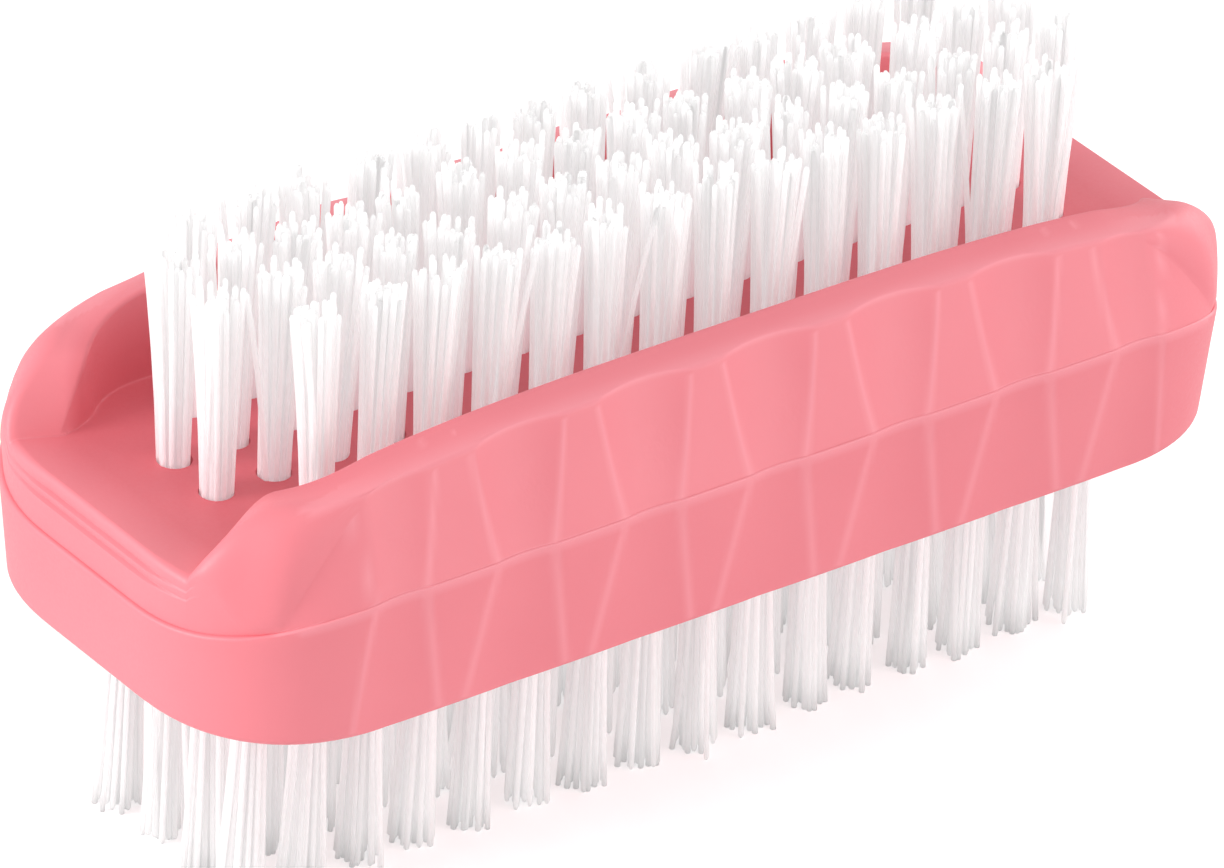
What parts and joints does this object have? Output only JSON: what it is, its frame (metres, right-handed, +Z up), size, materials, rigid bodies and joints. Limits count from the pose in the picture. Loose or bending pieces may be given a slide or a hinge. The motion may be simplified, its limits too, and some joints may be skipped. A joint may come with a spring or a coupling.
{
  "type": "nail brush",
  "caption": "Two sided nail brush: a pink two piece plastic body with arched side walls and scooped grips, and white nylon tufts above and below.",
  "frame": {"origin": "centre of the bounding box on the plane of the lower bristle tips, where the brush stands", "axes": "+X along the brush, +Y across it and away from the pictured side, +Z up from the lower bristles to the upper ones"},
  "size_m": [0.0916, 0.0382, 0.048],
  "materials": {
    "pink_plastic": "satin injection moulded plastic",
    "bristle_nylon": "translucent white nylon filament",
    "anchor_wire": "drawn flat wire"
  },
  "bodies": {
    "root": {"upper_body": "pink_plastic", "lower_body": "pink_plastic", "upper_tuft_row_1": "bristle_nylon", "upper_tuft_row_2": "bristle_nylon", "upper_tuft_row_3": "bristle_nylon", "upper_tuft_row_4": "bristle_nylon", "lower_tuft_row_1": "bristle_nylon", "lower_tuft_row_2": "bristle_nylon", "lower_tuft_row_3": "bristle_nylon", "lower_tuft_row_4": "bristle_nylon", "upper_anchor_row_1": "anchor_wire", "upper_anchor_row_2": "anchor_wire", "upper_anchor_row_3": "anchor_wire", "upper_anchor_row_4": "anchor_wire", "lower_anchor_row_1": "anchor_wire", "lower_anchor_row_2": "anchor_wire", "lower_anchor_row_3": "anchor_wire", "lower_anchor_row_4": "anchor_wire"}
  },
  "joints": []
}
